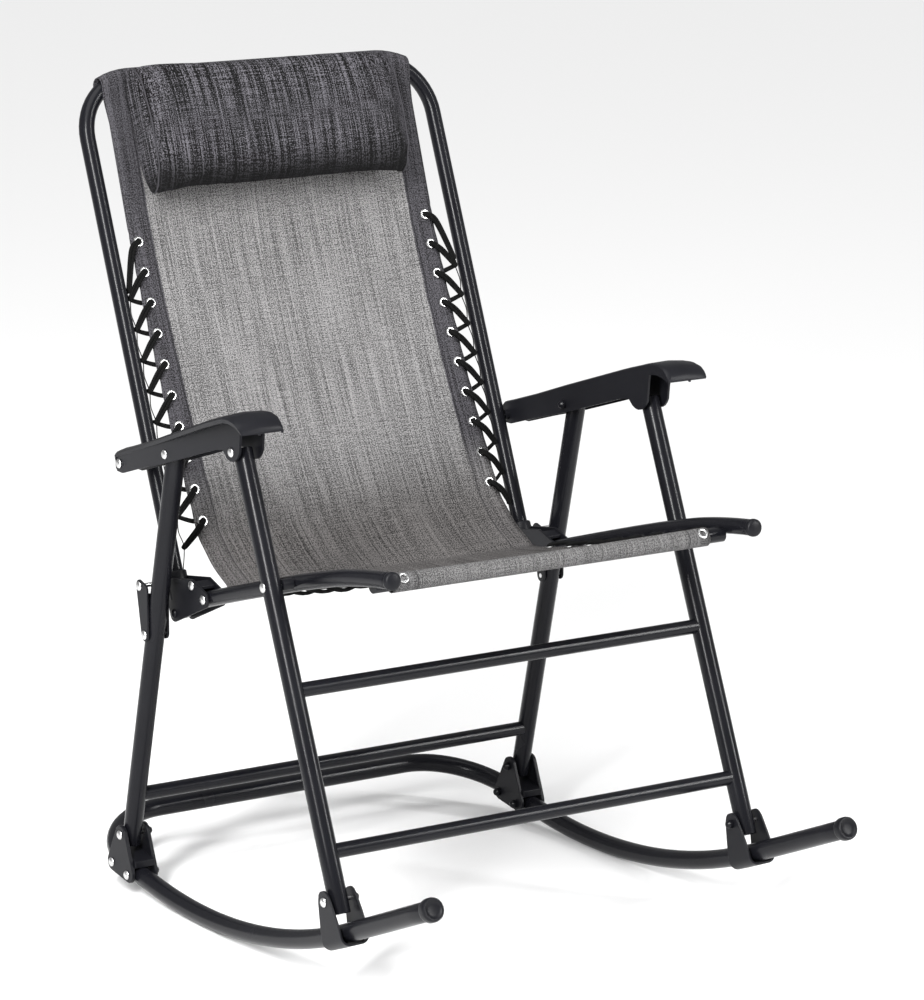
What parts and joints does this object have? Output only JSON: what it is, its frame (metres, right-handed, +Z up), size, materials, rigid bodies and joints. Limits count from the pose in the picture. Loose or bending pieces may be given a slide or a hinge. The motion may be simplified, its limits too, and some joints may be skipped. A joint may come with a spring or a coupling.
{
  "type": "folding rocking chair",
  "caption": "Folding camp rocking chair with curved tube rockers, moulded arms, a laced fabric sling and a headrest pillow.",
  "frame": {"origin": "on the floor, under the middle of the chair's bounding box", "axes": "+Z up, -Y towards the front where the sitter's feet are, +X towards the sitter's left hand"},
  "size_m": [0.708, 0.9516, 1.0761],
  "materials": {
    "black_steel": "satin black powder coat",
    "black_plastic": "moulded black plastic",
    "bolt_steel": "bright zinc-plated bolts",
    "bracket_bolt_black": "black bolts and spacer bushes",
    "sling_fabric": "warm grey cross-woven mesh",
    "seat_fabric": "dark grey woven mesh",
    "pillow_fabric": "charcoal padded mesh",
    "cord": "black braided elastic cord"
  },
  "bodies": {
    "rocker": {"rocker_tube": "black_steel", "rocker_cap_left": "black_plastic", "rocker_cap_right": "black_plastic", "rear_clamp_outer_left": "black_plastic", "rear_clamp_outer_right": "black_plastic", "rear_clamp_inner_left": "black_plastic", "rear_clamp_inner_right": "black_plastic", "rear_pivot_bolt_left": "bolt_steel", "rear_pivot_bolt_right": "bolt_steel", "clamp_front_bolt_left": "bolt_steel", "clamp_front_bolt_right": "bolt_steel", "clamp_rear_bolt_left": "bolt_steel", "clamp_rear_bolt_right": "bolt_steel"},
    "rear_legs": {"rear_leg_left": "black_steel", "rear_leg_right": "black_steel", "rear_crossbar": "black_steel", "link_pivot_bolt_left": "bolt_steel", "link_pivot_bolt_right": "bolt_steel"},
    "links": {"back_link_left": "black_steel", "back_link_right": "black_steel", "back_link_bolt_left": "bolt_steel", "back_link_bolt_right": "bolt_steel"},
    "arms": {"arm_left": "black_plastic", "arm_right": "black_plastic", "arm_middle_bolt_left": "bolt_steel", "arm_middle_bolt_right": "bolt_steel", "arm_rear_bolt_left": "bolt_steel", "arm_rear_bolt_right": "bolt_steel", "arm_front_bolt_left": "bolt_steel", "arm_front_bolt_right": "bolt_steel"},
    "back_frame": {"back_tube": "black_steel", "back_bracket_left": "black_plastic", "back_bracket_right": "black_plastic", "seat_hinge_bolt_left": "bolt_steel", "seat_hinge_bolt_right": "bolt_steel", "bracket_bolt_left": "bracket_bolt_black", "bracket_bolt_right": "bracket_bolt_black", "sling_back": "sling_fabric", "back_lacing_left": "cord", "back_lacing_right": "cord", "headrest_pillow": "pillow_fabric"},
    "seat_frame": {"seat_tube_left": "black_steel", "seat_tube_right": "black_steel", "seat_cap_left": "black_plastic", "seat_cap_right": "black_plastic", "seat_front_bar": "black_steel", "sling_seat": "seat_fabric", "seat_lacing_left": "cord", "seat_lacing_right": "cord"},
    "front_saddles": {"front_saddle_left": "black_plastic", "front_saddle_right": "black_plastic", "saddle_bolt_left": "bolt_steel", "saddle_bolt_right": "bolt_steel"},
    "front_legs": {"front_leg_left": "black_steel", "front_leg_right": "black_steel", "front_upper_crossbar": "black_steel", "front_lower_crossbar": "black_steel", "seat_pivot_bolt_left": "bracket_bolt_black", "seat_pivot_bolt_right": "bracket_bolt_black"}
  },
  "joints": [
    {"name": "back_pivot", "type": "hinge", "parent": "arms", "child": "back_frame", "pos_m": [0, 0.2708, 0.5778], "axis": [1, 0, 0], "range_deg": [0, 28.15]},
    {"name": "rear_leg_pivot", "type": "hinge", "parent": "rocker", "child": "rear_legs", "pos_m": [0, 0.2695, 0.077], "axis": [1, 0, 0], "range_deg": [0, 11.79]},
    {"name": "arm_pivot", "type": "hinge", "parent": "rear_legs", "child": "arms", "pos_m": [0, 0.1361, 0.614], "axis": [1, 0, 0], "range_deg": [-9.24, 0]},
    {"name": "seat_hinge", "type": "hinge", "parent": "back_frame", "child": "seat_frame", "pos_m": [0, 0.1175, 0.4215], "axis": [1, 0, 0], "range_deg": [-40.73, 0]},
    {"name": "link_pivot", "type": "hinge", "parent": "rear_legs", "child": "links", "pos_m": [0, 0.198, 0.364], "axis": [1, 0, 0], "range_deg": [-51, 0]},
    {"name": "saddle_travel", "type": "hinge", "parent": "rocker", "child": "front_saddles", "pos_m": [0, 0.0915, 0.9725], "axis": [1, 0, 0], "range_deg": [0, 18.03]},
    {"name": "front_leg_pivot", "type": "hinge", "parent": "front_saddles", "child": "front_legs", "pos_m": [0, -0.2525, 0.1217], "axis": [1, 0, 0], "range_deg": [0, 21.99]}
  ],
  "couplings": [
    {"joint": "rear_leg_pivot", "follows": "back_pivot", "ratio": 0.41847},
    {"joint": "arm_pivot", "follows": "back_pivot", "ratio": -0.32789},
    {"joint": "seat_hinge", "follows": "back_pivot", "ratio": -1.4465},
    {"joint": "link_pivot", "follows": "back_pivot", "ratio": -1.8114},
    {"joint": "saddle_travel", "follows": "back_pivot", "ratio": 0.64014},
    {"joint": "front_leg_pivot", "follows": "back_pivot", "ratio": 0.78082}
  ]
}
